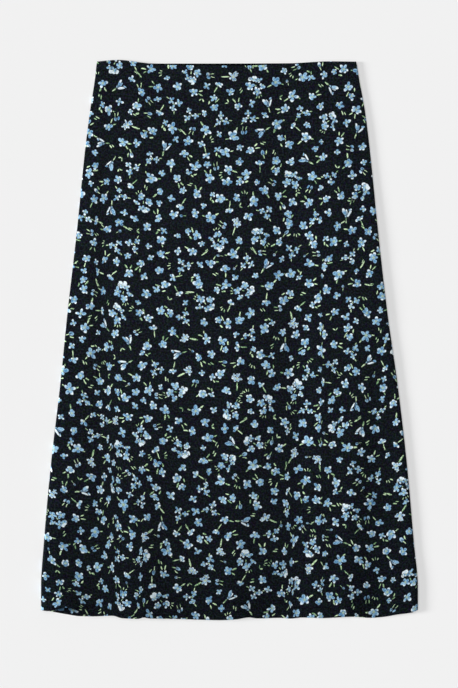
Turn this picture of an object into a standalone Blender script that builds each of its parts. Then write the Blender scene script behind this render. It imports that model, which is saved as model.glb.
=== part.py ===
"""An a-line midi skirt, laid flat on a surface with its front up.

+X is the viewer's right, +Y points to the waist and +Z up. The origin is on the surface, under the
middle of the skirt's outline. In the tables, "across" is measured from the middle line to the right
and "down" from the highest point of the waist, both in metres. "Lift" is how far the front panel
stands off the place where it would lie flat on the back panel.
"""

import math

import bpy
import numpy as np

# ---------------------------------------------------------------- driving dimensions, in metres
LENGTH = 0.763  # from the highest point of the waist to the lowest point of the hem
HALF_HEM = 0.257  # the middle line to either side seam near the hem, as laid
WALL = 0.0012  # the cloth with its turnings
SEAM_GAP = 0.0003
SEAM_HEIGHT = 0.0027  # of the side seams above the surface
SIDE_ROLL = 0.006  # how far in from a side seam the cloth has turned level

# The side seams, as the distance of each from the middle line.
SIDES = (
    # down, left, right
    (0.000, 0.1806, 0.1727),
    (0.006, 0.1817, 0.1742),
    (0.014, 0.1824, 0.1753),
    (0.068, 0.1903, 0.1849),
    (0.123, 0.1972, 0.1917),
    (0.232, 0.2081, 0.2026),
    (0.341, 0.2204, 0.2149),
    (0.450, 0.2313, 0.2299),
    (0.559, 0.2436, 0.2422),
    (0.669, 0.2531, 0.2517),
    (0.733, HALF_HEM, HALF_HEM),
    (LENGTH, HALF_HEM, HALF_HEM),
)

# The waist edges. The front one dips in the middle, where the back one shows above it.
WAIST = (
    # across, down at the front, down at the back
    (-0.182, 0.0024, 0.0036),
    (-0.152, 0.0000, 0.0030),
    (-0.121, 0.0035, 0.0045),
    (-0.088, 0.0068, 0.0048),
    (0.021, 0.0078, 0.0047),
    (0.062, 0.0062, 0.0045),
    (0.096, 0.0040, 0.0042),
    (0.137, 0.0020, 0.0034),
    (0.175, 0.0025, 0.0036),
)

# The hem edges. The back one is a little longer at the left, and the front one dips at its flutes.
HEM = (
    # across, down at the front, down at the back
    (-HALF_HEM, 0.7488, 0.7488),
    (-0.242, 0.7517, 0.7519),
    (-0.221, 0.7548, 0.7557),
    (-0.204, 0.7568, 0.7581),
    (-0.188, 0.7576, 0.7583),
    (-0.159, 0.7567, 0.7574),
    (-0.146, 0.7601, 0.7588),
    (-0.124, 0.7609, 0.7594),
    (-0.117, 0.7590, 0.7584),
    (-0.109, 0.7604, 0.7590),
    (-0.067, 0.7615, 0.7600),
    (-0.013, LENGTH, 0.7610),
    (0.009, 0.7620, 0.7607),
    (0.027, 0.7594, 0.7588),
    (0.038, 0.7609, 0.7596),
    (0.069, 0.7602, 0.7594),
    (0.083, 0.7613, 0.7600),
    (0.099, 0.7597, 0.7590),
    (0.125, 0.7605, 0.7592),
    (0.167, 0.7586, 0.7578),
    (0.192, 0.7602, 0.7588),
    (0.212, 0.7586, 0.7576),
    (0.229, 0.7556, 0.7550),
    (0.249, 0.7528, 0.7524),
    (HALF_HEM, 0.7491, 0.7491),
)

# The folds of the front panel, line by line from left to right, each at five levels.
LEVELS = (0.00, 0.25, 0.45, 0.60, 0.76)  # down
FOLD_LINES = (
    # name, across at each level, lift at each level in millimetres
    ("left edge", (-0.173, -0.204, -0.226, -0.241, -0.251), (1.0, 1.6, 3.2, 9.4, 13.2)),
    ("left crest", (-0.168, -0.193, -0.202, -0.228, -0.240), (1.4, 2.4, 3.8, 10.2, 14.0)),
    ("left valley", (-0.152, -0.169, -0.165, -0.163, -0.168), (0.7, 1.0, 2.4, 7.6, 11.8)),
    ("left flute's shoulder", (-0.144, -0.149, -0.151, -0.151, -0.151), (0.8, 1.6, 2.7, 7.5, 11.8)),
    ("left flute", (-0.129, -0.130, -0.134, -0.135, -0.133), (1.0, 2.5, 3.7, 8.2, 12.7)),
    ("left flute's foot", (-0.112, -0.110, -0.115, -0.118, -0.118), (1.1, 2.5, 3.8, 7.6, 11.6)),
    ("left inner slope", (-0.085, -0.082, -0.084, -0.076, -0.074), (1.1, 2.5, 3.9, 5.2, 7.6)),
    ("left inner valley", (-0.050, -0.036, -0.024, -0.027, -0.026), (1.1, 2.6, 4.2, 4.4, 5.6)),
    ("middle flute", (-0.008, 0.000, 0.009, 0.004, 0.003), (1.1, 2.8, 4.8, 4.7, 5.8)),
    ("middle flute's slope", (0.040, 0.040, 0.044, 0.036, 0.036), (0.9, 2.4, 3.9, 3.1, 3.4)),
    ("middle flute's foot", (0.062, 0.064, 0.070, 0.068, 0.067), (0.7, 1.7, 2.2, 1.3, 1.3)),
    ("right inner valley", (0.082, 0.084, 0.091, 0.091, 0.091), (0.5, 0.5, 0.3, 0.2, 0.2)),
    ("right flute's shoulder", (0.101, 0.101, 0.103, 0.104, 0.104), (0.8, 1.1, 0.9, 0.8, 1.0)),
    ("right flute", (0.117, 0.123, 0.119, 0.120, 0.121), (1.2, 2.0, 1.9, 1.9, 2.2)),
    ("right crease", (0.124, 0.129, 0.127, 0.127, 0.128), (1.2, 2.1, 2.0, 2.1, 2.4)),
    ("right rise", (0.134, 0.146, 0.152, 0.144, 0.143), (1.1, 2.5, 2.4, 2.6, 2.9)),
    ("outer flute", (0.144, 0.164, 0.171, 0.164, 0.159), (1.1, 2.6, 3.1, 3.3, 3.4)),
    ("outer flute's slope", (0.151, 0.178, 0.184, 0.182, 0.178), (1.1, 2.6, 2.7, 2.0, 1.8)),
    ("outer valley", (0.157, 0.187, 0.199, 0.203, 0.203), (1.1, 2.6, 1.5, 0.4, 0.3)),
    ("right crest", (0.162, 0.193, 0.214, 0.228, 0.238), (1.2, 2.6, 2.0, 1.6, 2.2)),
    ("right edge", (0.166, 0.198, 0.224, 0.240, 0.251), (1.2, 2.6, 2.6, 2.7, 3.2)),
)

# Low on the left the hem of the front has drawn up off the back panel.
PUCKER_ACROSS = -0.219
PUCKER_HALF_WIDTH = 0.033
PUCKER_REACH = 0.055  # how far up from the hem
PUCKER_LIFT = 0.0022
PUCKER_RISE = 0.0095  # how far the hem's edge draws up

# How finely each panel is divided.
COLUMN_STEP = 0.0085
FEWEST_COLUMNS = 2  # between two fold lines
FRONT_ROWS = 34
BACK_ROWS = 14
BACK_COLUMNS = 22
ROLL_STEPS = 5

# The crepe's own colour and the wrong side's, which is what the back panel shows.
FRONT_COLOUR = (0.016, 0.024, 0.034, 1.0)
BACK_COLOUR = (0.024, 0.032, 0.042, 1.0)
CREPE_ROUGHNESS = 0.75

LYING = 2 * WALL + SEAM_GAP  # height of the front's outer face where it lies on the back


def curve_through(places, values, at):
    """A smooth curve through the values at the places, which never swings past them."""
    places = np.asarray(places, float)
    values = np.asarray(values, float)
    step = np.diff(places)
    grade = np.diff(values) / step
    before, after = grade[:-1], grade[1:]
    slope = np.empty(len(values))
    slope[0], slope[-1] = grade[0], grade[-1]
    same_way = before * after > 0
    total = np.where(same_way, before + after, 1.0)
    slope[1:-1] = np.where(same_way, 2 * before * after / total, 0.0)
    at = np.clip(at, places[0], places[-1])
    k = np.clip(np.searchsorted(places, at, side="right") - 1, 0, len(step) - 1)
    t = (at - places[k]) / step[k]
    along = (t**3 - 2 * t**2 + t) * slope[k] + (t**3 - t**2) * slope[k + 1]
    return values[k] * (2 * t**3 - 3 * t**2 + 1) + values[k + 1] * (3 * t**2 - 2 * t**3) + along * step[k]


def column(table, index):
    return [row[index] for row in table]


def side_seams(down):
    """Where the left and the right seam are, across."""
    levels = column(SIDES, 0)
    left = -curve_through(levels, column(SIDES, 1), down)
    return float(left), float(curve_through(levels, column(SIDES, 2), down))


def edge_down(table, across, back):
    return curve_through(column(table, 0), column(table, 2 if back else 1), across)


def soft_bump(distance):
    """1 in the middle, falling smoothly to 0 at a distance of 1."""
    return np.cos(np.clip(np.abs(distance), 0, 1) * math.pi / 2) ** 2


def pucker(across, share_down):
    """How much of the hem's pucker acts at each point, from 0 to 1."""
    above_hem = (1 - share_down) * LENGTH
    return soft_bump((across - PUCKER_ACROSS) / PUCKER_HALF_WIDTH) * soft_bump(above_hem / PUCKER_REACH)


def columns_between(lines):
    """Positions between the fold lines: 0 is the first line, 1 the second, and so on."""
    widths = np.diff([line[1][-1] for line in lines])
    places = [0.0]
    for k, width in enumerate(widths):
        count = max(FEWEST_COLUMNS, round(width / COLUMN_STEP))
        places += [k + (j + 1) / count for j in range(count)]
    return np.array(places)


def fold_section(down, places):
    """Across and lift of the front panel at one level, between its two edge rolls."""
    left, right = side_seams(down)
    lines = np.array([curve_through(LEVELS, line[1], down) for line in FOLD_LINES])
    lines[0], lines[-1] = left + SIDE_ROLL, right - SIDE_ROLL
    lifts = [curve_through(LEVELS, line[2], down) / 1000 for line in FOLD_LINES]
    across = np.interp(places, range(len(lines)), lines)
    return across, curve_through(lines, lifts, across)


def rolled(across, height, left, right, seam, inset):
    """A section with its quarter turns down or up to the seams added at both ends."""
    turn = np.arange(ROLL_STEPS) / ROLL_STEPS * math.pi / 2
    reach = SIDE_ROLL - inset
    in_left = left + inset + reach * (1 - np.cos(turn))
    in_right = right - inset - reach * (1 - np.cos(turn))
    up_left = seam + (height[0] - seam) * np.sin(turn)
    up_right = seam + (height[-1] - seam) * np.sin(turn)
    return (
        np.concatenate([in_left, across, in_right[::-1]]),
        np.concatenate([up_left, height, up_right[::-1]]),
    )


def laid_out(across, height, share_down, back):
    """Points of one row, from its section and its share of the way from waist to hem."""
    waist = edge_down(WAIST, across, back)
    hem = edge_down(HEM, across, back)
    down = waist + share_down * (hem - waist)
    if not back:
        drawn = pucker(across, share_down)
        down = down - PUCKER_RISE * drawn
        height = height + PUCKER_LIFT * drawn
    return np.column_stack([across, LENGTH / 2 - down, height])


def front_rows():
    """The outer and the inner faces of the front panel, each as rows of points."""
    places = columns_between(FOLD_LINES)
    seam = SEAM_HEIGHT + SEAM_GAP / 2
    outer, inner = [], []
    for share in np.linspace(0, 1, FRONT_ROWS + 1):
        down = share * LENGTH
        left, right = side_seams(down)
        across, lift = fold_section(down, places)
        slope = np.gradient(lift, across)
        top = LYING + lift
        under = np.maximum(top - WALL * np.hypot(1, slope), WALL + SEAM_GAP)
        outer.append(laid_out(*rolled(across, top, left, right, seam, 0), share, False))
        inner.append(laid_out(*rolled(across, under, left, right, seam, WALL), share, False))
    return np.array(outer), np.array(inner)


def back_rows():
    """The underside of the back panel, flat but for its edges, and the face over it."""
    seam = SEAM_HEIGHT - SEAM_GAP / 2
    under, over = [], []
    for share in np.linspace(0, 1, BACK_ROWS + 1):
        left, right = side_seams(share * LENGTH)
        across = np.linspace(left + SIDE_ROLL, right - SIDE_ROLL, BACK_COLUMNS + 1)
        level = np.zeros_like(across)
        under.append(laid_out(*rolled(across, level, left, right, seam, 0), share, True))
        over.append(laid_out(*rolled(across, level + WALL, left, right, seam, WALL), share, True))
    return np.array(under), np.array(over)


def crepe(name, colour):
    material = bpy.data.materials.new(name)
    material.use_nodes = True
    shader = material.node_tree.nodes["Principled BSDF"]
    shader.inputs["Base Color"].default_value = colour
    shader.inputs["Roughness"].default_value = CREPE_ROUGHNESS
    shader.inputs["Metallic"].default_value = 0.0
    return material


def panel(name, over, under, material):
    """A wall between an upper and a lower face, each an array of rows of points."""
    rows, columns = over.shape[:2]
    points = np.concatenate([over.reshape(-1, 3), under.reshape(-1, 3)])
    number = np.arange(rows * columns).reshape(rows, columns)
    below = number + rows * columns
    faces = []
    for r in range(rows - 1):
        for c in range(columns - 1):
            corners = ((r, c), (r + 1, c), (r + 1, c + 1), (r, c + 1))
            faces.append([int(number[k]) for k in corners])
            faces.append([int(below[k]) for k in reversed(corners)])
    rim = [(0, c) for c in range(columns - 1)]
    rim += [(r, columns - 1) for r in range(rows - 1)]
    rim += [(rows - 1, c) for c in range(columns - 1, 0, -1)]
    rim += [(r, 0) for r in range(rows - 1, 0, -1)]
    for here, there in zip(rim, rim[1:] + rim[:1]):
        faces.append([int(k) for k in (number[here], number[there], below[there], below[here])])
    mesh = bpy.data.meshes.new(name)
    mesh.from_pydata(points.tolist(), [], faces)
    mesh.materials.append(material)
    mesh.shade_smooth()
    mesh.set_sharp_from_angle(angle=math.radians(40))
    skirt_piece = bpy.data.objects.new(name, mesh)
    bpy.context.collection.objects.link(skirt_piece)
    return skirt_piece


def main():
    for old in list(bpy.data.objects):
        bpy.data.objects.remove(old, do_unlink=True)
    outer, inner = front_rows()
    panel("front_panel", outer, inner, crepe("crepe", FRONT_COLOUR))
    under, over = back_rows()
    panel("back_panel", over, under, crepe("crepe_wrong_side", BACK_COLOUR))


main()
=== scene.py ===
import math

import bpy
import numpy as np
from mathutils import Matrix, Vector


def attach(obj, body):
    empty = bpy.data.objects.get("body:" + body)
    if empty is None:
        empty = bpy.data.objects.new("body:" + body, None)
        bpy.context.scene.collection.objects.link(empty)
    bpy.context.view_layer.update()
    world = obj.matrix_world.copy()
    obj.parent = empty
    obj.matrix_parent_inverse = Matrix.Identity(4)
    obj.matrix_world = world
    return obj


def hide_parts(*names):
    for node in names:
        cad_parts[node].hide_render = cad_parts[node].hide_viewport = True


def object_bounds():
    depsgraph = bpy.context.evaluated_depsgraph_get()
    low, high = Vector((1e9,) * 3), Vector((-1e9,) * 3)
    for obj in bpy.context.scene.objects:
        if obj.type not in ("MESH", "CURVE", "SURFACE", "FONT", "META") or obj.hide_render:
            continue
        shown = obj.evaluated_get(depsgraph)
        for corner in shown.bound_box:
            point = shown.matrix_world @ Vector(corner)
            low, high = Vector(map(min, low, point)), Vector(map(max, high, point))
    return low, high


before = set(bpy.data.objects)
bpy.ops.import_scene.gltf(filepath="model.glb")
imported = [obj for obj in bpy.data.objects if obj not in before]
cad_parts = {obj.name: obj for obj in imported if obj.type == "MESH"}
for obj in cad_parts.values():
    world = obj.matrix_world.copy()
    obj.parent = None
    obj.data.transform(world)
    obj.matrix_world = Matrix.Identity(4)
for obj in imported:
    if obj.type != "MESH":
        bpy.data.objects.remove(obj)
cad_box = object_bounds()

# ---------------------------------------------------------------- the skirt's form, in metres
# "Across" is measured from the middle line to the viewer's right, "down" from the highest point of
# the waist towards the hem. "Lift" is how far the front stands off the place where it would lie flat.
MILLIMETRES = 1000.0  # in a metre
LENGTH = cad_box[1][1] - cad_box[0][1]
HALF_HEM = (cad_box[1][0] - cad_box[0][0]) / 2
LYING = 0.0027  # height of the front's outer face where it lies on the back
SEAM_HEIGHT = 0.0027  # where the two panels meet
SEAM_GAP = 0.0003
SIDE_ROLL = 0.006  # how far in from its seams a panel starts to turn towards them

SIDES = (
    # down, left, right
    (0.000, 0.1806, 0.1727),
    (0.006, 0.1817, 0.1742),
    (0.014, 0.1824, 0.1753),
    (0.068, 0.1903, 0.1849),
    (0.123, 0.1972, 0.1917),
    (0.232, 0.2081, 0.2026),
    (0.341, 0.2204, 0.2149),
    (0.450, 0.2313, 0.2299),
    (0.559, 0.2436, 0.2422),
    (0.669, 0.2531, 0.2517),
    (0.733, HALF_HEM, HALF_HEM),
    (LENGTH, HALF_HEM, HALF_HEM),
)
WAIST = (
    # across, down at the front, down at the back
    (-0.182, 0.0024, 0.0036),
    (-0.152, 0.0000, 0.0030),
    (-0.121, 0.0035, 0.0045),
    (-0.088, 0.0068, 0.0048),
    (0.021, 0.0078, 0.0047),
    (0.062, 0.0062, 0.0045),
    (0.096, 0.0040, 0.0042),
    (0.137, 0.0020, 0.0034),
    (0.175, 0.0025, 0.0036),
)
HEM = (
    # across, down at the front, down at the back
    (-HALF_HEM, 0.7488, 0.7488),
    (-0.242, 0.7517, 0.7519),
    (-0.221, 0.7548, 0.7557),
    (-0.204, 0.7568, 0.7581),
    (-0.188, 0.7576, 0.7583),
    (-0.159, 0.7567, 0.7574),
    (-0.146, 0.7601, 0.7588),
    (-0.124, 0.7609, 0.7594),
    (-0.117, 0.7590, 0.7584),
    (-0.109, 0.7604, 0.7590),
    (-0.067, 0.7615, 0.7600),
    (-0.013, LENGTH, 0.7610),
    (0.009, 0.7620, 0.7607),
    (0.027, 0.7594, 0.7588),
    (0.038, 0.7609, 0.7596),
    (0.069, 0.7602, 0.7594),
    (0.083, 0.7613, 0.7600),
    (0.099, 0.7597, 0.7590),
    (0.125, 0.7605, 0.7592),
    (0.167, 0.7586, 0.7578),
    (0.192, 0.7602, 0.7588),
    (0.212, 0.7586, 0.7576),
    (0.229, 0.7556, 0.7550),
    (0.249, 0.7528, 0.7524),
    (HALF_HEM, 0.7491, 0.7491),
)
LEVELS = (0.00, 0.25, 0.45, 0.60, 0.76)  # down
FOLD_LINES = (
    # name, across at each level, lift at each level in millimetres
    ("left edge", (-0.173, -0.204, -0.226, -0.241, -0.251), (1.0, 1.6, 3.2, 9.4, 13.2)),
    ("left crest", (-0.168, -0.193, -0.202, -0.228, -0.240), (1.4, 2.4, 3.8, 10.2, 14.0)),
    ("left valley", (-0.152, -0.169, -0.165, -0.163, -0.168), (0.7, 1.0, 2.4, 7.6, 11.8)),
    ("left flute's shoulder", (-0.144, -0.149, -0.151, -0.151, -0.151), (0.8, 1.6, 2.7, 7.5, 11.8)),
    ("left flute", (-0.129, -0.130, -0.134, -0.135, -0.133), (1.0, 2.5, 3.7, 8.2, 12.7)),
    ("left flute's foot", (-0.112, -0.110, -0.115, -0.118, -0.118), (1.1, 2.5, 3.8, 7.6, 11.6)),
    ("left inner slope", (-0.085, -0.082, -0.084, -0.076, -0.074), (1.1, 2.5, 3.9, 5.2, 7.6)),
    ("left inner valley", (-0.050, -0.036, -0.024, -0.027, -0.026), (1.1, 2.6, 4.2, 4.4, 5.6)),
    ("middle flute", (-0.008, 0.000, 0.009, 0.004, 0.003), (1.1, 2.8, 4.8, 4.7, 5.8)),
    ("middle flute's slope", (0.040, 0.040, 0.044, 0.036, 0.036), (0.9, 2.4, 3.9, 3.1, 3.4)),
    ("middle flute's foot", (0.062, 0.064, 0.070, 0.068, 0.067), (0.7, 1.7, 2.2, 1.3, 1.3)),
    ("right inner valley", (0.082, 0.084, 0.091, 0.091, 0.091), (0.5, 0.5, 0.3, 0.2, 0.2)),
    ("right flute's shoulder", (0.101, 0.101, 0.103, 0.104, 0.104), (0.8, 1.1, 0.9, 0.8, 1.0)),
    ("right flute", (0.117, 0.123, 0.119, 0.120, 0.121), (1.2, 2.0, 1.9, 1.9, 2.2)),
    ("right crease", (0.124, 0.129, 0.127, 0.127, 0.128), (1.2, 2.1, 2.0, 2.1, 2.4)),
    ("right rise", (0.134, 0.146, 0.152, 0.144, 0.143), (1.1, 2.5, 2.4, 2.6, 2.9)),
    ("outer flute", (0.144, 0.164, 0.171, 0.164, 0.159), (1.1, 2.6, 3.1, 3.3, 3.4)),
    ("outer flute's slope", (0.151, 0.178, 0.184, 0.182, 0.178), (1.1, 2.6, 2.7, 2.0, 1.8)),
    ("outer valley", (0.157, 0.187, 0.199, 0.203, 0.203), (1.1, 2.6, 1.5, 0.4, 0.3)),
    ("right crest", (0.162, 0.193, 0.214, 0.228, 0.238), (1.2, 2.6, 2.0, 1.6, 2.2)),
    ("right edge", (0.166, 0.198, 0.224, 0.240, 0.251), (1.2, 2.6, 2.6, 2.7, 3.2)),
)

# A small pucker of the front's hem, near the left side.
PUCKER_ACROSS = -0.219
PUCKER_HALF_WIDTH = 0.033
PUCKER_REACH = 0.055  # up from the hem
PUCKER_LIFT = 0.0022
PUCKER_RISE = 0.0095  # of the hem, towards the waist

# ---------------------------------------------------------------- the cloth, in metres
CLOTH_THICK = 0.00035
TURN_DROP = 0.00075  # from the outer face to the turned-in cloth's face
HEM_TURNING = 0.011
WAIST_TURNING = 0.030
SEAM_LIP = 0.0014  # of the turned-in seam edge that a gap between the panels could show
SEAM_LIP_COLUMNS = 2
ROLL_STEPS = 7
ROLL_BEND = 0.55  # 1 turns down in a quarter ellipse, less stays level nearer to the seam
FOLD_STEPS = 4  # round the folded edge of the hem and the waist
TURNING_STEP = 0.0036
HAIR = 1e-9
# The near-black inner tape is painted shade: it fills the gap above the front's waist edge
SHADE_TAPE_SHOWS = {"front": -0.0014, "back": 0.0012}  # how far down the cloth the inner tape reaches
COLUMN_STEP = 0.0028
ROW_STEP = 0.0037

STITCH_ABOVE_HEM = 0.009
STITCH_PITCH = 0.0030
STITCH_LENGTH = 0.0024
STITCH_RINGS = (
    # share of the stitch's length, thickness as a share of the thread's
    (0.0, 0.25),
    (0.2, 0.90),
    (0.5, 1.00),
    (0.8, 0.90),
    (1.0, 0.25),
)
THREAD_RADIUS = 0.00013
THREAD_SIDES = 6
BACK_STITCH_SINKS = 0.00010  # into the cloth, for the panel's flat side rests on the surface

# Where the cloth lies in crimps too fine to model, which take up some of its width.
CRIMPS = (
    # across at each level, half width, share of the cloth taken up at each level
    ((-0.154, -0.177, -0.163, -0.162, -0.162), 0.0180, (0.00, 0.45, 0.75, 0.90, 0.90)),
    ((-0.122, -0.122, -0.122, -0.122, -0.122), 0.0070, (0.00, 0.00, 0.00, 0.80, 1.50)),
    ((0.081, 0.081, 0.081, 0.081, 0.081), 0.0110, (0.00, 0.00, 0.20, 0.80, 1.20)),
    ((0.121, 0.127, 0.126, 0.126, 0.126), 0.0035, (0.00, 0.90, 1.90, 1.70, 0.90)),
)

# Low waves of the lying cloth, which are too soft to be folds.
WAVE_HEIGHT = 0.00022
WAVE_COUNT = 14
WAVE_LENGTHS = (0.035, 0.11)
WAVE_PACE_DOWN = 0.5  # as a share of the pace across
WAVE_SEED = 5


def curve_through(places, values, at):
    """A smooth curve through the values at the places, which never swings past them."""
    places = np.asarray(places, float)
    values = np.asarray(values, float)
    step = np.diff(places)
    grade = np.diff(values) / step
    before, after = grade[:-1], grade[1:]
    slope = np.empty(len(values))
    slope[0], slope[-1] = grade[0], grade[-1]
    same_way = before * after > 0
    total = np.where(same_way, before + after, 1.0)
    slope[1:-1] = np.where(same_way, 2 * before * after / total, 0.0)
    at = np.clip(at, places[0], places[-1])
    k = np.clip(np.searchsorted(places, at, side="right") - 1, 0, len(step) - 1)
    t = (at - places[k]) / step[k]
    along = (t**3 - 2 * t**2 + t) * slope[k] + (t**3 - t**2) * slope[k + 1]
    return values[k] * (2 * t**3 - 3 * t**2 + 1) + values[k + 1] * (3 * t**2 - 2 * t**3) + along * step[k]


def column(table, index):
    return [row[index] for row in table]


def side_seams(down):
    """Where the left and the right seam are, across."""
    levels = column(SIDES, 0)
    left = -curve_through(levels, column(SIDES, 1), down)
    return float(left), float(curve_through(levels, column(SIDES, 2), down))


def edge_down(table, across, back):
    """How far down the waist edge or the hem edge of a panel is."""
    return curve_through(column(table, 0), column(table, 2 if back else 1), across)


def soft_bump(distance):
    """1 in the middle, falling smoothly to 0 at a distance of 1."""
    return np.cos(np.clip(np.abs(distance), 0, 1) * math.pi / 2) ** 2


def pucker(across, share_down):
    """How strongly the pucker draws the cloth, from 0 to 1."""
    above_hem = (1 - share_down) * LENGTH
    return soft_bump((across - PUCKER_ACROSS) / PUCKER_HALF_WIDTH) * soft_bump(above_hem / PUCKER_REACH)


def waves():
    """Each low wave's pace across, pace down and phase."""
    rng = np.random.default_rng(WAVE_SEED)
    turn = rng.uniform(0, math.pi, WAVE_COUNT)
    pace = 2 * math.pi / rng.uniform(*WAVE_LENGTHS, WAVE_COUNT)
    phase = rng.uniform(0, 2 * math.pi, WAVE_COUNT)
    return list(zip(pace * np.cos(turn), pace * np.sin(turn) * WAVE_PACE_DOWN, phase))


WAVES = waves()


def wave_lift(across, down):
    """The low waves' height together, which is never below zero."""
    total = sum(np.sin(a * across + d * down + p) for a, d, p in WAVES)
    return WAVE_HEIGHT * (1 + np.clip(total / math.sqrt(WAVE_COUNT / 2), -2, 2) / 2) * 2


def places_between(lines, step):
    """Positions between the fold lines: 0 is the first line, 1 the second, and so on."""
    widths = np.diff([line[1][-1] for line in lines])
    found = [0.0]
    for k, width in enumerate(widths):
        count = max(4, round(width / step))
        found += [k + (j + 1) / count for j in range(count)]
    return np.array(found)


def fold_section(down, places):
    """The front's section between its side turns: how far across and how high each place is."""
    left, right = side_seams(down)
    lines = np.array([curve_through(LEVELS, line[1], down) for line in FOLD_LINES])
    lines[0], lines[-1] = left + SIDE_ROLL, right - SIDE_ROLL
    lifts = [curve_through(LEVELS, line[2], down) / MILLIMETRES for line in FOLD_LINES]
    across = np.interp(places, range(len(lines)), lines)
    return across, curve_through(lines, lifts, across)


def rolled(across, height, left, right, seam):
    """A section with its turns to the seams and the seams' turned-in lips added at both ends."""
    turn = np.arange(ROLL_STEPS) / ROLL_STEPS * math.pi / 2
    lip = SEAM_LIP * np.arange(SEAM_LIP_COLUMNS, 0, -1) / SEAM_LIP_COLUMNS
    in_by = SIDE_ROLL * (1 - np.cos(turn) ** ROLL_BEND)
    in_left = np.concatenate([left + lip, left + in_by])
    in_right = np.concatenate([right - lip, right - in_by])
    up = np.concatenate([np.zeros(SEAM_LIP_COLUMNS), np.sin(turn) ** ROLL_BEND])
    up_left = seam + (height[0] - seam) * up
    up_right = seam + (height[-1] - seam) * up
    return (
        np.concatenate([in_left, across, in_right[::-1]]),
        np.concatenate([up_left, height, up_right[::-1]]),
    )


def crimped(across, down):
    """How much longer the cloth is than its section, at each point."""
    extra = np.ones_like(across)
    for places, half_width, shares in CRIMPS:
        middle = curve_through(LEVELS, places, down)
        extra += curve_through(LEVELS, shares, down) * soft_bump((across - middle) / half_width)
    return extra


def along_cloth(across, height, down, first, last):
    """How far along the cloth each point of a section is from the middle line."""
    stretch = crimped((across[1:] + across[:-1]) / 2, down)
    steps = np.hypot(np.diff(across), np.diff(height)) * stretch
    along = np.concatenate([[0.0], np.cumsum(steps)])
    return along - np.interp(0.0, across[first:last], along[first:last])


def path_rows():
    """The way of the cloth from the waist's turning over the outside to the hem's turning.

    Each row is (share of the way down, reach past the edge, drop below the outer face, length of
    cloth from the waist edge)."""
    angles = [math.pi * (k + 0.5) / FOLD_STEPS for k in range(FOLD_STEPS)]
    radius = TURN_DROP / 2
    half_turn = math.pi * radius
    rows = []
    for t in np.arange(WAIST_TURNING, 0, -TURNING_STEP):
        rows.append((t / LENGTH, 0.0, TURN_DROP, -t - half_turn))
    for a in angles:
        past, drop = -radius * math.sin(a), radius * (1 + math.cos(a))
        rows.append((0.0, past, drop, radius * (a - math.pi)))
    for share in np.linspace(0, 1, round(LENGTH / ROW_STEP) + 1):
        rows.append((share, 0.0, 0.0, share * LENGTH))
    for a in angles:
        past, drop = radius * math.sin(a), radius * (1 - math.cos(a))
        rows.append((1.0, past, drop, LENGTH + radius * a))
    for t in np.arange(TURNING_STEP, HEM_TURNING + HAIR, TURNING_STEP):
        rows.append((1 - t / LENGTH, 0.0, TURN_DROP, LENGTH + t + half_turn))
    return rows


def sheet_points(back):
    """Points of a panel's right side as [row, column, xyz], and the cloth's own coordinates of each."""
    places = places_between(FOLD_LINES, COLUMN_STEP)
    seam = SEAM_HEIGHT + (-SEAM_GAP if back else SEAM_GAP) / 2
    side = -1.0 if back else 1.0
    points, cloth = [], []
    for share, past, drop, length in path_rows():
        down = share * LENGTH
        left, right = side_seams(down)
        across, lift = fold_section(down, places)
        height = np.zeros_like(across) if back else LYING + lift + wave_lift(across, down)
        across, height = rolled(across, height, left, right, seam)
        waist, hem = edge_down(WAIST, across, back), edge_down(HEM, across, back)
        at = waist + share * (hem - waist)
        if not back:
            pulled = pucker(across, share)
            at = at - PUCKER_RISE * pulled
            height = height + PUCKER_LIFT * pulled
        first = ROLL_STEPS + SEAM_LIP_COLUMNS
        last = len(across) - first
        along = along_cloth(across, height, down, first, last)
        slope_x, slope_z = np.gradient(across), np.gradient(height)
        slope = np.maximum(np.hypot(slope_x, slope_z), HAIR)
        x = across + side * drop * slope_z / slope
        z = height - side * drop * np.abs(slope_x) / slope
        points.append(np.column_stack([x, LENGTH / 2 - at - past, z]))
        cloth.append(np.column_stack([along, np.full_like(along, length), np.zeros_like(along)]))
    return np.array(points), np.array(cloth)


# ---------------------------------------------------------------- the print, in millimetres
# A tossed small floral. Each motif is a list of strokes: flowers, petals and leaves. Their places are
# measured from the motif's middle and their turns in degrees.
PETAL, PALE, LEAF, STAR = 0.0, 1.0, 2.0, 3.0
ALL_PETALS = 9  # enough to either side of the first petal
SLOTS = 5  # strokes that one face of the cloth can show
FACE_REACH = 6.0  # no face reaches further from its middle, outline and wobble included
WOBBLE = 0.7  # of a stroke's outline
LONGEST_PETAL = 1.16  # as a share of its flower's size
LEAF_SIZE = 0.92
FLOWER_SIZE = 0.96
OUTLINE = 1.3  # of bare dark ground that sets off each stroke
OUTLINE_SHADE = 0.8
PRINT_SEED = 41
STROKE_FACTS = (
    # name, the three values of a stroke that it holds
    ("place", (0, 1, 2)),  # across, down, turn
    ("shape", (3, 4, 5)),  # petals, size, aspect
    ("look", (6, 7, 8)),  # tone, petals shown, luck
)


def stroke(x, y, turn, petals, size, aspect, tone, shown=ALL_PETALS):
    """One mark: a flower of some petals (shown to either side of its first), or one lens-shaped touch."""
    return (x, y, math.radians(turn), petals, size, aspect, tone, shown)


def leaf(x, y, turn, size, aspect=0.26):
    return stroke(x, y, turn, 1, size * LEAF_SIZE, aspect, LEAF)


def flower(x, y, turn, size, petals=5, shown=ALL_PETALS, tone=PETAL, aspect=0.29):
    return stroke(x, y, turn, petals, size * FLOWER_SIZE, aspect, tone, shown)


def single(rng):
    return [flower(0, 0, 0, rng.uniform(6.4, 7.6), rng.choice([4, 5, 5, 5]))]


def single_with_leaf(rng):
    return [leaf(7.6, 0.4, 4, 4.2, 0.21), flower(-1.4, 0, 0, rng.uniform(6.6, 7.4), 5)]


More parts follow.
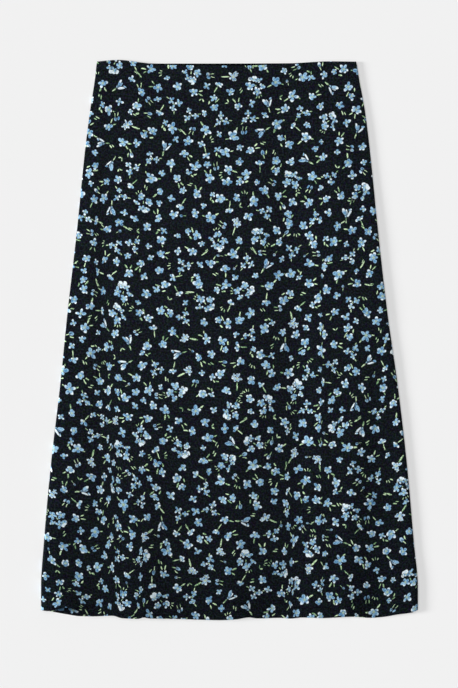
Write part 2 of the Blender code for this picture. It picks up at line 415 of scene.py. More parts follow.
def single_with_two_leaves(rng):
    return [
        leaf(-3.2, -7.4, 62, 3.8, 0.24),
        leaf(3.4, -7.0, 118, 3.3, 0.27),
        flower(0, 1.6, 90, rng.uniform(6.6, 7.6), 5),
    ]


def single_with_spray(rng):
    return [
        leaf(5.6, 5.6, 50, 4.2, 0.21),
        leaf(8.0, 1.2, 15, 3.0, 0.32),
        flower(-1.6, -1.2, 0, rng.uniform(6.6, 7.2), 5),
    ]


def side_flower(rng):
    return [
        leaf(-6.2, -1.6, 14, 5.2, 0.16),
        flower(0.4, 0, 0, rng.uniform(6.6, 7.4), 6, 1),
        flower(0.8, 0.2, 96, 4.6, 5, 0, PALE),
    ]


def small_flower(rng):
    return [flower(0, 0, 0, rng.uniform(4.8, 5.8), rng.choice([4, 5]))]


def big_flower(rng):
    return [
        leaf(1.0, 9.6, 84, 4.2, 0.26),
        leaf(6.2, -7.0, -40, 2.6, 0.36),
        flower(0, 0, 20, rng.uniform(8.2, 9.2)),
    ]


def bell(rng):
    return [
        leaf(0.4, -8.8, 84, 5.4, 0.17),
        stroke(1.6, 0.2, 84, 1, 5.6, 0.34, PETAL),
        stroke(4.4, 2.4, 60, 1, 5.0, 0.40, PETAL),
        stroke(-3.0, 0.6, 112, 1, 5.6, 0.22, PALE),
        stroke(-3.6, 5.8, 150, 1, 2.4, 0.5, PETAL),
    ]


def three_flowers(rng):
    found = [leaf(8.6, -8.2, -45, 2.6, 0.26), leaf(0.4, 12.0, 80, 2.6, 0.26)]
    for turn in (95, 214, 332):
        x, y = 6.4 * math.cos(math.radians(turn)), 6.0 * math.sin(math.radians(turn))
        found += [flower(x, y, turn, rng.uniform(5.0, 5.8), 4)]
    return found + [leaf(0.6, 0.0, 60, 2.4, 0.24), stroke(-2.2, -1.0, 20, 1, 1.5, 0.8, PALE)]


def pair(rng):
    return [
        leaf(1.4, 4.8, 60, 4.4, 0.22),
        leaf(1.8, -6.4, 36, 3.0, 0.34),
        flower(-6.2, -1.6, 0, rng.uniform(6.8, 7.8)),
        flower(6.8, 1.8, 20, rng.uniform(5.8, 6.6), 5),
    ]


def big_and_small(rng):
    return [
        leaf(1.6, -7.4, 20, 2.8, 0.4),
        leaf(6.0, -6.4, 70, 2.6, 0.36),
        leaf(-11.8, 5.6, 140, 2.6, 0.3),
        flower(-4.4, 1.4, 0, rng.uniform(8.0, 8.8)),
        flower(7.6, 0.2, 20, 5.2, 4),
    ]


def ring(rng):
    return [
        leaf(0.4, 1.2, 50, 2.4, 0.26),
        flower(-5.0, 6.8, 10, rng.uniform(6.4, 7.0)),
        flower(7.2, 5.4, 50, rng.uniform(6.2, 6.8), 5, 2),
        flower(6.8, -6.4, 75, 5.8, 5, 1),
        flower(-2.4, -7.0, 15, 5.6, 4),
        flower(-7.6, -3.4, 205, 7.6, 6, 1, PALE, 0.40),
        flower(-8.0, -4.0, 75, 5.4, 5, 1, PETAL),
        leaf(12.6, 11.2, 75, 2.0, 0.3),
        leaf(14.8, 8.4, 40, 2.0, 0.3),
        leaf(15.4, 5.0, 10, 2.0, 0.3),
    ]


def star_and_leaf(rng):
    return [
        leaf(-0.6, -9.6, 86, 6.6, 0.17),
        flower(0, 1.6, 10, rng.uniform(7.0, 7.8), 6, ALL_PETALS, STAR, 0.21),
        flower(4.0, 4.6, 65, 4.4, 5, 1, STAR, 0.26),
    ]


def two_buds(rng):
    return [
        stroke(-2.4, -3.0, 105, 1, 2.6, 0.6, PETAL),
        leaf(-1.6, 2.6, 100, 3.2, 0.17),
        stroke(2.2, -4.0, 75, 1, 2.6, 0.7, PETAL),
        leaf(2.8, 1.6, 84, 3.2, 0.17),
    ]


def bud_and_leaves(rng):
    return [
        stroke(1.6, -0.6, 25, 1, 3.8, 0.6, PETAL),
        leaf(-3.4, -2.4, 14, 3.4, 0.2),
        leaf(-0.8, 3.6, 46, 3.4, 0.24),
    ]


def two_dashes(rng):
    return [leaf(-1.6, 0, 72, 3.4, 0.24), leaf(2.0, 0.9, 66, 2.6, 0.26)]


def long_dashes(rng):
    return [leaf(-1.4, 0, 60, 6.6, 0.15), leaf(2.2, 2.6, 54, 3.0, 0.24)]


def tick(rng):
    return [leaf(-1.6, 0, 62, 3.0, 0.26), leaf(1.9, 0.6, -35, 2.4, 0.4)]


def fan(rng):
    return [
        leaf(-3.0, 1.6, 60, 2.1, 0.28),
        leaf(0.0, 0.4, 40, 2.6, 0.24),
        leaf(2.2, -2.6, 8, 2.5, 0.28),
    ]


def stemmed_petal(rng):
    return [stroke(0, -1.8, 90, 1, 2.2, 0.7, PETAL), leaf(0, 2.6, 94, 2.4, 0.16)]


MOTIFS = (
    # motif, radius that it keeps clear, number per square decimetre of cloth
    (ring, 15.5, 0.95),
    (big_and_small, 13.5, 0.85),
    (pair, 12.4, 1.30),
    (three_flowers, 11.6, 1.35),
    (star_and_leaf, 11.0, 0.65),
    (bell, 10.6, 0.90),
    (big_flower, 10.6, 0.95),
    (single_with_two_leaves, 9.6, 1.40),
    (single_with_spray, 9.4, 1.20),
    (side_flower, 8.0, 1.50),
    (single_with_leaf, 8.6, 1.40),
    (single, 7.6, 3.00),
    (two_buds, 5.8, 1.30),
    (small_flower, 5.8, 3.00),
    (bud_and_leaves, 5.4, 0.60),
    (long_dashes, 5.2, 0.50),
    (fan, 4.4, 1.00),
    (two_dashes, 4.2, 1.40),
    (tick, 4.0, 1.00),
    (stemmed_petal, 4.4, 1.00),
)
SQUARE_DECIMETRE = 10000.0  # in square millimetres
MOTIF_CLEARANCE = 0.5
TRIES = 40  # for each motif that is asked for


def scattered_strokes(low, high, seed):
    """The strokes of a print that fills the rectangle, each motif tossed where there is room for it."""
    rng = np.random.default_rng(seed)
    size = high - low
    area = size[0] * size[1] / SQUARE_DECIMETRE
    spots, radii, strokes = np.empty((0, 2)), np.empty(0), []
    for motif, radius, density in MOTIFS:
        wanted = round(area * density)
        for _ in range(wanted * TRIES):
            if not wanted:
                break
            spot = low + rng.random(2) * size
            gaps = np.hypot(*(spots - spot).T) - radii - radius
            if len(gaps) and gaps.min() < MOTIF_CLEARANCE:
                continue
            wanted -= 1
            spots, radii = np.vstack([spots, spot]), np.append(radii, radius)
            turn = rng.uniform(0, 2 * math.pi)
            cos, sin = math.cos(turn), math.sin(turn)
            for x, y, angle, *rest in motif(rng):
                at = (spot[0] + x * cos - y * sin, spot[1] + x * sin + y * cos)
                strokes.append((*at, angle + turn, *rest, rng.random()))
    return np.array(strokes)


def print_on(mesh, cloth, seed):
    """Gives each face the strokes of the print that reach it."""
    corner = np.array([tuple(p.vertices) for p in mesh.polygons])
    face = cloth.reshape(-1, 3)[corner, :2] * MILLIMETRES
    middle = face.mean(1)
    half = np.linalg.norm(face - middle[:, None], axis=2).max(1) + WOBBLE + OUTLINE
    strokes = scattered_strokes(middle.min(0), middle.max(0), seed)
    order = np.argsort(middle[:, 1])
    ordered = middle[order, 1]
    nearness = np.full((len(middle), SLOTS), np.inf)
    chosen = np.full((len(middle), SLOTS), -1)
    for number, (x, y, turn, petals, size, aspect, *_) in enumerate(strokes):
        reach = size * LONGEST_PETAL
        low, high = np.searchsorted(ordered, [y - reach - FACE_REACH, y + reach + FACE_REACH])
        near = order[low:high]
        away = middle[near] - (x, y)
        if petals < 2:
            along = np.abs(away @ (math.cos(turn), math.sin(turn))) - size
            aside = np.abs(away @ (-math.sin(turn), math.cos(turn))) - size * aspect
            gap = np.maximum(along, aside)
        else:
            gap = np.hypot(*away.T) - reach
        inside = gap < half[near]
        near, gap = near[inside], gap[inside]
        worst = nearness[near].argmax(1)
        better = gap < nearness[near, worst]
        near, gap, worst = near[better], gap[better], worst[better]
        nearness[near, worst] = gap
        chosen[near, worst] = number
    chosen.sort(axis=1)
    strokes = np.vstack([strokes, np.zeros(len(strokes[0]))])
    for slot in range(SLOTS):
        rows = strokes[chosen[:, slot]]
        for name, picked in STROKE_FACTS:
            layer = mesh.attributes.new(f"{name}{slot}", "FLOAT_VECTOR", "FACE")
            layer.data.foreach_set("vector", rows[:, picked].astype(np.float32).ravel())


# ---------------------------------------------------------------- materials
GROUND = (0.0045, 0.0072, 0.0106)
BLUE_DEEP = (0.062, 0.230, 0.450)
BLUE_LIGHT = (0.335, 0.585, 0.800)
PALE_COLOUR = (0.840, 0.940, 0.980)
GREEN_DEEP = (0.185, 0.360, 0.175)
GREEN_LIGHT = (0.670, 0.860, 0.560)
HEART = (0.500, 0.640, 0.380)
OUTLINE_COLOUR = (0.0008, 0.0040, 0.0110)
WRONG_SIDE = (0.045, 0.055, 0.068)
# near-black, darker than the crepe's ground: painted shade for the gap at the waist, on a tape
TAPE_PAINTED_SHADE = (0.0022, 0.0028, 0.0036)
THREAD = (0.006, 0.009, 0.013)

# How a stroke is painted. A pair is (least, what luck may add) or (from, to) of a soft step.
LUCK_STEPS = (91.7, 57.3)  # set each stroke's luck apart from the others'
WASH_STEP = 20.0
PETAL_SWING = 0.56  # radians, from one side to the other
PETAL_LENGTH = (0.64, 0.52)
PETAL_WIDTH = (0.82, 0.46)
PETAL_MIDDLE = 0.57  # of the way out along the petal
PAINT_EDGE = (1.02, 0.88)
HEART_RADIUS = 0.22
HEART_EDGE = (1.45, 0.45)
HEART_COVER = 0.9
HEART_TINT = 0.85
WASH_PACE = 0.55  # blots of the wash to a millimetre
WASH_EDGE = (0.36, 0.62)
WASH_LIGHT = 0.90
SIDE_LIGHT = 0.35  # by which one side of a petal is lighter than its middle
PETAL_LIGHT = 0.8  # by which one petal may be lighter than another
TIP_EDGE = (-0.3, 0.7)
TIP_CHANCE = (0.44, 0.70)
RIM_EDGE = (0.45, 0.95)
RIM_PALE = 0.22
STAR_RIM_PALE = 0.6  # more than on other flowers
PALE_LEAST = 0.72
GREEN_EDGE = (0.0, 0.8)

# The crepe. Paces are to a millimetre of cloth, heights are shares of the grain's height.
WOBBLE_PACE = 0.36
WOBBLE_SPAN = 1.5
PEBBLE_PACE = 0.42
PEBBLE_SHADE = 7.0  # how much lighter or darker a pebble may be
PEBBLE_TINT = 5.0
PEBBLE_DARKEST = 0.1
PEBBLE_HEIGHT = 1.4
GRAIN_PACE = 1.9
THREAD_PITCH = (0.42, 0.48)  # millimetres, across and down
WEAVE_HEIGHT = 0.12
CREPE_ROUGH = 0.72
CREPE_GLOSS = 0.09
CREPE_DEPTH = 0.00036
WRONG_SIDE_COVER = 0.42  # how much of the print the wrong side hides

THREAD_GLOSS = 0.2
PLY_PACE = 900.0
PLY_DEPTH = 0.00005
TAPE_GLOSS = 0.05
TAPE_TWILL = 0.0009  # between two ribs of the tape
TAPE_DEPTH = 0.00010

FLOOR = (0.62, 0.62, 0.62)
FLOOR_SIZE = 8.0
FLOOR_BELOW = 0.0001  # the part's lowest point
FLOOR_GLOW = 0.26  # the table is lit from below as well, so its shadows are pale

# The table and the skirt have lamps of their own, besides the room's light: broad ones overhead and
# low ones from the left. The lamp over the skirt is aimed at its upper half, so that the hem lies
# towards the soft edge of its cone.
ROOM = 0.10
SUNS = (
    # name, what it lights, where it stands, what it adds to the light there, its spread in degrees
    ("table overhead", "table", (-0.16, 0.00, 0.98), 0.58, 36.0),
    ("table low left", "table", (-0.945, 0.00, 0.326), 0.32, 17.0),
    ("skirt low left", "skirt", (-0.96, 0.06, 0.185), 0.33, 12.0),
)
LAMP_PLACE = (-0.36, 0.25, 2.2)
LAMP_AIM = (-0.08, 0.17, 0.0)
LAMP_SHARE = 0.69  # what it adds to the light at the place that it is aimed at
LAMP_RADIUS = 0.55
LAMP_CONE = 50.0  # degrees


class Graph:
    """A short way to write a node tree."""

    def __init__(self, tree):
        self.tree = tree

    def node(self, kind, inputs=(), **settings):
        made = self.tree.nodes.new(kind)
        for name, value in settings.items():
            setattr(made, name, value)
        pairs = inputs.items() if isinstance(inputs, dict) else enumerate(inputs)
        for name, value in pairs:
            self.feed(made.inputs[name], value)
        return made

    def feed(self, socket, value):
        if isinstance(value, bpy.types.NodeSocket):
            self.tree.links.new(value, socket)
        elif value is not None:
            socket.default_value = value

    def math(self, operation, *values, clamp=False):
        return self.node("ShaderNodeMath", values, operation=operation, use_clamp=clamp).outputs[0]

    def vector(self, operation, *values):
        return self.node("ShaderNodeVectorMath", values, operation=operation).outputs["Vector"]

    def scaled(self, vector, factor):
        inputs = {0: vector, "Scale": factor}
        return self.node("ShaderNodeVectorMath", inputs, operation="SCALE").outputs[0]

    def split(self, vector):
        return self.node("ShaderNodeSeparateXYZ", [vector]).outputs

    def joined(self, x, y, z=0.0):
        return self.node("ShaderNodeCombineXYZ", [x, y, z]).outputs[0]

    def ramp(self, value, low, high, start=0.0, end=1.0):
        inputs = {"Value": value, "From Min": low, "From Max": high, "To Min": start, "To Max": end}
        return self.node("ShaderNodeMapRange", inputs, interpolation_type="SMOOTHSTEP").outputs[0]

    def mix(self, share, first, second):
        made = self.node("ShaderNodeMix", data_type="RGBA")
        for index, value in ((0, share), (6, first), (7, second)):
            self.feed(made.inputs[index], value)
        return made.outputs[2]

    def noise(self, vector, scale, detail=2.0, rough=0.5):
        inputs = {"Vector": vector, "Scale": scale, "Detail": detail, "Roughness": rough}
        return self.node("ShaderNodeTexNoise", inputs)

    def attribute(self, name):
        return self.node("ShaderNodeAttribute", attribute_name=name)


def colour(rgb):
    return (*rgb, 1.0)


def darker_and_lighter(rgb):
    return [colour([value * factor for value in rgb]) for factor in (0.7, 1.3)]


def stroke_group():
    """Node group that draws one stroke over the colour it is given."""
    tree = bpy.data.node_groups.new("stroke", "ShaderNodeTree")
    tree.interface.new_socket("Under", in_out="INPUT", socket_type="NodeSocketColor")
    for name in ("Cloth", "Place", "Shape", "Look"):
        tree.interface.new_socket(name, in_out="INPUT", socket_type="NodeSocketVector")
    tree.interface.new_socket("Over", in_out="OUTPUT", socket_type="NodeSocketColor")
    g = Graph(tree)
    given = g.node("NodeGroupInput").outputs
    place_x, place_y, turn = g.split(given["Place"])
    petals, size, aspect = g.split(given["Shape"])
    tone, shown, seed = g.split(given["Look"])
    cloth_x, cloth_y, _ = g.split(given["Cloth"])

    # Which petal a point belongs to, and what luck that petal has.
    dx, dy = g.math("SUBTRACT", cloth_x, place_x), g.math("SUBTRACT", cloth_y, place_y)
    radius = g.math("SQRT", g.math("ADD", g.math("MULTIPLY", dx, dx), g.math("MULTIPLY", dy, dy)))
    angle = g.math("WRAP", g.math("SUBTRACT", g.math("ARCTAN2", dy, dx), turn), math.pi, -math.pi)
    is_flower = g.math("GREATER_THAN", petals, 1.5)
    sector = g.math("DIVIDE", 2 * math.pi, g.math("MAXIMUM", petals, 1.0))
    number = g.math("MULTIPLY", g.math("ROUND", g.math("DIVIDE", angle, sector)), is_flower)
    which = g.math("WRAP", number, g.math("MAXIMUM", petals, 1.0), 0.0)
    seeded = g.joined(g.math("MULTIPLY", seed, LUCK_STEPS[0]), which, petals)
    luck = g.split(g.node("ShaderNodeTexWhiteNoise", {"Vector": seeded}).outputs["Color"])
    seeded = g.joined(which, g.math("MULTIPLY", seed, LUCK_STEPS[1]), petals)
    chance = g.split(g.node("ShaderNodeTexWhiteNoise", {"Vector": seeded}).outputs["Color"])

    # Each petal is an ellipse that points away from the heart, a little longer, shorter or turned.
    swing = g.math("MULTIPLY", g.math("SUBTRACT", chance[0], 0.5), PETAL_SWING)
    swing = g.math("MULTIPLY", swing, is_flower)
    own = g.math("SUBTRACT", g.math("SUBTRACT", angle, g.math("MULTIPLY", number, sector)), swing)
    stretch = g.math("ADD", PETAL_LENGTH[0], g.math("MULTIPLY", luck[0], PETAL_LENGTH[1]))
    stretch = g.node("ShaderNodeMix", {0: is_flower, 2: 1.0, 3: stretch}).outputs[0]
    reach = g.math("MULTIPLY", size, stretch)
    px = g.math("MULTIPLY", radius, g.math("COSINE", own))
    py = g.math("MULTIPLY", radius, g.math("SINE", own))
    centre = g.math("MULTIPLY", g.math("MULTIPLY", reach, PETAL_MIDDLE), is_flower)
    half_long = g.math("SUBTRACT", reach, centre)
    widen = g.math("ADD", PETAL_WIDTH[0], g.math("MULTIPLY", luck[1], PETAL_WIDTH[1]))
    half_wide = g.math("MULTIPLY", g.math("MULTIPLY", size, aspect), widen)
    ex = g.math("DIVIDE", g.math("SUBTRACT", px, centre), half_long)
    ey = g.math("DIVIDE", py, half_wide)
    edge = g.math("SQRT", g.math("ADD", g.math("MULTIPLY", ex, ex), g.math("MULTIPLY", ey, ey)))
    drawn = g.math("LESS_THAN", g.math("ABSOLUTE", number), g.math("ADD", shown, 0.5))
    is_there = g.math("GREATER_THAN", size, 0.1)
    drawn = g.math("MULTIPLY", drawn, is_there)
    inside = g.math("MULTIPLY", g.ramp(edge, *PAINT_EDGE), drawn)
    outside = g.math("MULTIPLY", g.math("SUBTRACT", edge, 1.0), half_wide)
    outline = g.math("MULTIPLY", g.ramp(outside, OUTLINE, 0.0, 0.0, OUTLINE_SHADE), drawn)
    under = g.mix(outline, given["Under"], colour(OUTLINE_COLOUR))
    heart = g.ramp(g.math("DIVIDE", radius, g.math("MULTIPLY", size, HEART_RADIUS)), *HEART_EDGE)
    heart = g.math("MULTIPLY", heart, is_flower)
    inside = g.math("MAXIMUM", inside, g.math("MULTIPLY", heart, HEART_COVER))
    inside = g.math("MULTIPLY", inside, is_there)

    # Its colour, from a watery wash, the petal's luck and what kind of stroke it is.
    is_pale, is_leaf, is_star = [g.math("COMPARE", tone, kind, 0.5) for kind in (PALE, LEAF, STAR)]
    own_wash = g.joined(cloth_x, cloth_y, g.math("MULTIPLY", seed, WASH_STEP))
    wash = g.noise(own_wash, WASH_PACE).outputs["Fac"]
    lit_side = g.math("MULTIPLY", ey, g.math("SIGN", g.math("SUBTRACT", chance[1], 0.5)))
    wash = g.ramp(wash, *WASH_EDGE, 0.0, WASH_LIGHT)
    light = g.math("ADD", g.math("MULTIPLY", lit_side, SIDE_LIGHT), wash)
    luckier = g.math("MULTIPLY", g.math("SUBTRACT", luck[2], 0.5), PETAL_LIGHT)
    light = g.math("ADD", light, luckier, clamp=True)
    blue = g.mix(light, colour(BLUE_DEEP), colour(BLUE_LIGHT))
    tip = g.math("MULTIPLY", g.ramp(ex, *TIP_EDGE), g.ramp(chance[2], *TIP_CHANCE))
    rim_pale = g.math("ADD", RIM_PALE, g.math("MULTIPLY", is_star, STAR_RIM_PALE))
    rim = g.math("MULTIPLY", g.ramp(edge, *RIM_EDGE), rim_pale)
    pale = g.math("ADD", PALE_LEAST, g.math("MULTIPLY", light, 1 - PALE_LEAST))
    pale = g.math("MULTIPLY", is_pale, pale)
    blue = g.mix(g.math("MAXIMUM", g.math("MAXIMUM", tip, rim), pale), blue, colour(PALE_COLOUR))
    blue = g.mix(g.math("MULTIPLY", heart, HEART_TINT), blue, colour(HEART))
    green = g.mix(g.ramp(light, *GREEN_EDGE), colour(GREEN_DEEP), colour(GREEN_LIGHT))
    paint = g.mix(is_leaf, blue, green)
    g.node("NodeGroupOutput", [g.mix(inside, under, paint)])
    return tree


def crepe(name, group, wrong_side):
    """The printed crepe, its right side or its wrong side."""
    material = bpy.data.materials.new(name)
    material.use_nodes = True
    g = Graph(material.node_tree)
    shader = material.node_tree.nodes["Principled BSDF"]
    cloth = g.scaled(g.attribute("cloth").outputs["Vector"], MILLIMETRES)
    half = (0.5, 0.5, 0.5)
    wobble = g.vector("SUBTRACT", g.noise(cloth, WOBBLE_PACE).outputs["Color"], half)
    drawn_at = g.vector("ADD", cloth, g.scaled(wobble, WOBBLE_SPAN))
    pebbles = g.noise(cloth, PEBBLE_PACE, detail=1.5, rough=0.6).outputs
    pebble = pebbles["Fac"]
    shade = g.math("MULTIPLY", g.math("SUBTRACT", pebble, 0.5), PEBBLE_SHADE)
    tint = g.scaled(g.vector("SUBTRACT", pebbles["Color"], half), PEBBLE_TINT)
    change = g.vector("ADD", tint, g.joined(shade, shade, shade))
    change = g.vector("ADD", change, (1.0, 1.0, 1.0))
    change = g.vector("MAXIMUM", change, (PEBBLE_DARKEST, PEBBLE_DARKEST, PEBBLE_DARKEST))
    over = g.vector("MULTIPLY", change, GROUND)
    for slot in range(SLOTS):
        inputs = {
            "Under": over,
            "Cloth": drawn_at,
            "Place": g.attribute(f"place{slot}").outputs["Vector"],
            "Shape": g.attribute(f"shape{slot}").outputs["Vector"],
            "Look": g.attribute(f"look{slot}").outputs["Vector"],
        }
        made = g.node("ShaderNodeGroup", node_tree=group)
        for key, value in inputs.items():
            g.feed(made.inputs[key], value)
        over = made.outputs["Over"]
    if wrong_side:
        over = g.mix(WRONG_SIDE_COVER, over, colour(WRONG_SIDE))
    g.feed(shader.inputs["Base Color"], over)
    shader.inputs["Roughness"].default_value = CREPE_ROUGH
    shader.inputs["Specular IOR Level"].default_value = CREPE_GLOSS
    grain = g.noise(cloth, GRAIN_PACE, detail=3.0, rough=0.7).outputs["Fac"]
    warp_x, warp_y, _ = g.split(cloth)
    thread_across = g.math("SINE", g.math("MULTIPLY", warp_x, 2 * math.pi / THREAD_PITCH[0]))
    thread_down = g.math("SINE", g.math("MULTIPLY", warp_y, 2 * math.pi / THREAD_PITCH[1]))
    weave = g.math("MULTIPLY", thread_across, thread_down)
    height = g.math("ADD", grain, g.math("MULTIPLY", weave, WEAVE_HEIGHT))
    height = g.math("ADD", height, g.math("MULTIPLY", pebble, PEBBLE_HEIGHT))
    bump = g.node("ShaderNodeBump", {"Height": height, "Strength": 0.5, "Distance": CREPE_DEPTH})
    g.feed(shader.inputs["Normal"], bump.outputs[0])
    return material


def plain(name, rgb, roughness):
    material = bpy.data.materials.new(name)
    material.use_nodes = True
    shader = material.node_tree.nodes["Principled BSDF"]
    shader.inputs["Base Color"].default_value = colour(rgb)
    shader.inputs["Roughness"].default_value = roughness
    return material


def thread_material():
    """Matte spun polyester, with its two plies."""
    material = plain("sewing_thread", THREAD, 0.8)
    g = Graph(material.node_tree)
    shader = material.node_tree.nodes["Principled BSDF"]
    shader.inputs["Specular IOR Level"].default_value = THREAD_GLOSS
    where = g.node("ShaderNodeTexCoord").outputs["Object"]
    wave = {"Vector": where, "Scale": PLY_PACE, "Distortion": 1.0}
    plies = g.node("ShaderNodeTexWave", wave).outputs["Fac"]
    g.feed(shader.inputs["Base Color"], g.mix(plies, *darker_and_lighter(THREAD)))
    bump = g.node("ShaderNodeBump", {"Height": plies, "Strength": 0.5, "Distance": PLY_DEPTH})
    g.feed(shader.inputs["Normal"], bump.outputs[0])
    return material


def shade_tape_material():
    """Plain matte tape that faces the inside of the waist, near-black as painted shade in the gap above
    the front's waist edge.
    """
    material = plain("waist_tape_painted_shade", TAPE_PAINTED_SHADE, 0.9)
    g = Graph(material.node_tree)
    shader = material.node_tree.nodes["Principled BSDF"]
    shader.inputs["Specular IOR Level"].default_value = TAPE_GLOSS
    cloth_x, cloth_y, _ = g.split(g.attribute("cloth").outputs["Vector"])
    slant = g.math("MULTIPLY", g.math("ADD", cloth_x, cloth_y), 2 * math.pi / TAPE_TWILL)
    twill = g.math("SINE", slant)
    ribs = g.mix(g.ramp(twill, -1.0, 1.0), *darker_and_lighter(TAPE_PAINTED_SHADE))
    g.feed(shader.inputs["Base Color"], ribs)
    bump = g.node("ShaderNodeBump", {"Height": twill, "Strength": 0.4, "Distance": TAPE_DEPTH})
    g.feed(shader.inputs["Normal"], bump.outputs[0])
    return material


# ---------------------------------------------------------------- pieces
def cloth_piece(name, back, seed, right_side, wrong_side, shade_tape):
    """One panel of the skirt, with its turned-in hem and its waist faced with near-black tape that paints
    shade, as a thin shell.
    """
    points, cloth = sheet_points(back)
    rows, columns = points.shape[:2]
    number = np.arange(rows * columns).reshape(rows, columns)
    corners = np.stack([number[:-1, :-1], number[1:, :-1], number[1:, 1:], number[:-1, 1:]], axis=2)
    corners = corners.reshape(-1, 4)
    if back:
        corners = corners[:, ::-1]
    mesh = bpy.data.meshes.new(name)
    mesh.from_pydata(points.reshape(-1, 3).tolist(), [], corners.tolist())
    layer = mesh.attributes.new("cloth", "FLOAT_VECTOR", "POINT")
    layer.data.foreach_set("vector", cloth.astype(np.float32).ravel())
    print_on(mesh, cloth, seed)
    mesh.shade_smooth()
    # The outer and the inner face of the crepe, then of the near-black tape that paints the shade at the
    # waist.
    for material in (right_side, wrong_side, shade_tape, shade_tape):
        mesh.materials.append(material)
    # Faces near the waist edge get the near-black tape, painted shade
    shade_taped = cloth.reshape(-1, 3)[corners, 1].mean(1) < SHADE_TAPE_SHOWS[name]
    mesh.polygons.foreach_set("material_index", np.where(shade_taped, 2, 0).astype(np.int32))
    piece = bpy.data.objects.new(name, mesh)
    bpy.context.collection.objects.link(piece)
    shell = piece.modifiers.new("thickness", "SOLIDIFY")
    shell.thickness = CLOTH_THICK
    shell.offset = -1  # the given faces are the outer ones
    shell.material_offset = 1
    return piece, points, cloth


def point_along(along, line, at):
    return Vector([np.interp(at, along, line[:, k]) for k in range(3)])


def stitching(name, points, cloth, back):
    """A row of lockstitch along the hem, as one mesh of short lengths of thread."""
    row = int(np.abs(cloth[:, 0, 1] - (LENGTH - STITCH_ABOVE_HEM)).argmin())
    line = points[row, SEAM_LIP_COLUMNS:-SEAM_LIP_COLUMNS]
    outward = np.cross(points[row + 1] - points[row], np.gradient(points[row], axis=0))
    outward = outward[SEAM_LIP_COLUMNS:-SEAM_LIP_COLUMNS]
    outward /= np.linalg.norm(outward, axis=1)[:, None]
    along = np.concatenate([[0.0], np.cumsum(np.linalg.norm(np.diff(line, axis=0), axis=1))])
    sink = BACK_STITCH_SINKS if back else 0.0
    verts, faces = [], []
    for start in np.arange(STITCH_PITCH, along[-1] - STITCH_PITCH, STITCH_PITCH):
        first = len(verts)
        for share, thick in STITCH_RINGS:
            at = start + share * STITCH_LENGTH
            centre = point_along(along, line, at)
            up = point_along(along, outward, at)
            ahead = point_along(along, line, at + STITCH_LENGTH) - centre
            side = up.cross(ahead).normalized()
            for k in range(THREAD_SIDES):
                turn = 2 * math.pi * k / THREAD_SIDES
                out = side * math.cos(turn) + up * math.sin(turn)
                verts.append(centre + out * THREAD_RADIUS * thick - up * sink)
        last = first + (len(STITCH_RINGS) - 1) * THREAD_SIDES
        for ring in range(first, last, THREAD_SIDES):
            for k in range(THREAD_SIDES):
                a, b = ring + k, ring + (k + 1) % THREAD_SIDES
                faces.append((a, b, b + THREAD_SIDES, a + THREAD_SIDES))
        faces.append(tuple(first + k for k in reversed(range(THREAD_SIDES))))
        faces.append(tuple(last + k for k in range(THREAD_SIDES)))
    mesh = bpy.data.meshes.new(name)
    mesh.from_pydata(verts, [], faces)
    mesh.shade_smooth()
    mesh.materials.append(thread_material())
    piece = bpy.data.objects.new(name, mesh)
    bpy.context.collection.objects.link(piece)
    return piece


def hang(light, place, toward, lit, glossy):
    """Puts a light in its place, shining back along a direction, on the things that it lights."""
    holder = bpy.data.objects.new(light.name, light)
    holder.location = place
    holder.rotation_euler = toward.to_track_quat("Z", "Y").to_euler()
    bpy.context.collection.objects.link(holder)
    holder.visible_glossy = glossy
    holder.light_linking.receiver_collection = bpy.data.collections.new(f"lit by {light.name}")
    for thing in lit:
        holder.light_linking.receiver_collection.objects.link(thing)


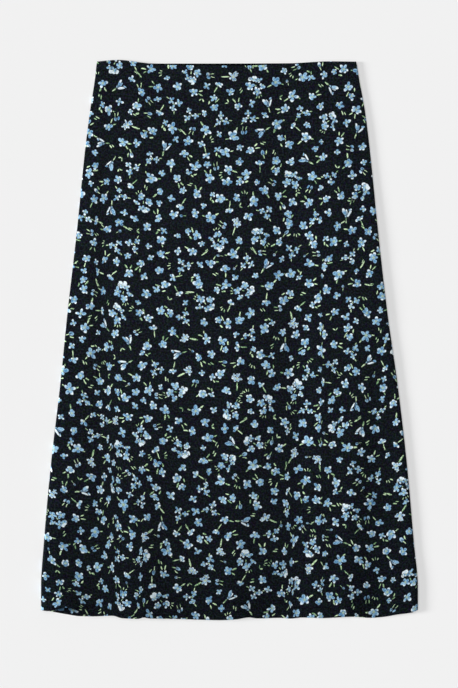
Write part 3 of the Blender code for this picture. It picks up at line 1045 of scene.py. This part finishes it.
def stage_and_light(pieces):
    bpy.ops.mesh.primitive_plane_add(size=FLOOR_SIZE, location=(0, 0, -FLOOR_BELOW))
    floor = bpy.context.object
    floor.name = "floor"
    floor.data.materials.append(plain("floor", FLOOR, 0.9))
    shader = floor.data.materials[0].node_tree.nodes["Principled BSDF"]
    shader.inputs["Specular IOR Level"].default_value = 0.0
    shader.inputs["Emission Color"].default_value = (1, 1, 1, 1)
    shader.inputs["Emission Strength"].default_value = FLOOR_GLOW
    world = bpy.data.worlds.new("studio")
    world.use_nodes = True
    world.node_tree.nodes["Background"].inputs["Color"].default_value = (1, 1, 1, 1)
    world.node_tree.nodes["Background"].inputs["Strength"].default_value = ROOM
    bpy.context.scene.world = world
    lit = {"table": [floor], "skirt": pieces}
    for name, lights, toward, share, spread in SUNS:
        toward = Vector(toward).normalized()
        sun = bpy.data.lights.new(name, "SUN")
        sun.energy = share * math.pi / toward.z
        sun.angle = math.radians(spread)
        # A low sun's gloss would turn the dark cloth pale for an eye across the table from it.
        hang(sun, toward, toward, lit[lights], glossy=False)
    toward = Vector(LAMP_PLACE) - Vector(LAMP_AIM)
    lamp = bpy.data.lights.new("skirt overhead", "SPOT")
    lamp.energy = LAMP_SHARE * 4 * math.pi**2 * toward.length**3 / toward.z
    lamp.shadow_soft_size = LAMP_RADIUS
    lamp.spot_size = math.radians(LAMP_CONE)
    lamp.spot_blend = 1.0
    hang(lamp, LAMP_PLACE, toward, lit["skirt"], glossy=True)


# ---------------------------------------------------------------- camera
PHOTO_WIDE, PHOTO_HIGH = 458, 688
PIXEL = 0.0013645  # on the surface
PHOTO_MIDDLE = (229.5, 339.9)  # the pixel over the origin
CAMERA_HEIGHT = 6.0


def camera():
    data = bpy.data.cameras.new("camera")
    data.sensor_fit = "VERTICAL"
    data.sensor_height = 24.0
    data.lens = data.sensor_height * CAMERA_HEIGHT / (PHOTO_HIGH * PIXEL)
    eye = bpy.data.objects.new("camera", data)
    across = (PHOTO_WIDE / 2 - PHOTO_MIDDLE[0]) * PIXEL
    up = (PHOTO_MIDDLE[1] - PHOTO_HIGH / 2) * PIXEL
    eye.location = (across, up, CAMERA_HEIGHT)
    bpy.context.collection.objects.link(eye)
    bpy.context.scene.camera = eye


PANELS = (
    # name, whether it is the back, node, slot, what it rests on
    ("back", True, "back_panel", "printed_crepe_wrong_side", "floor"),
    ("front", False, "front_panel", "printed_crepe", "back"),
)


def main():
    bpy.context.scene.view_settings.view_transform = "Standard"
    group = stroke_group()
    right_side = crepe("printed_crepe", group, False)
    wrong_side = crepe("printed_crepe_wrong_side", group, True)
    # near-black waist tape, painted shade for the gap at the waist
    shade_tape = shade_tape_material()
    pieces = []
    for name, back, node, slot, under in PANELS:
        panel, points, cloth = cloth_piece(name, back, PRINT_SEED + back, right_side, wrong_side, shade_tape)
        hem_stitches = stitching(f"{name}_hem_stitches", points, cloth, back)
        pieces += [panel, hem_stitches]
        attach(panel, "root")
        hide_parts(node)
        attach(hem_stitches, "root")
    stage_and_light(pieces)
    camera()


main()
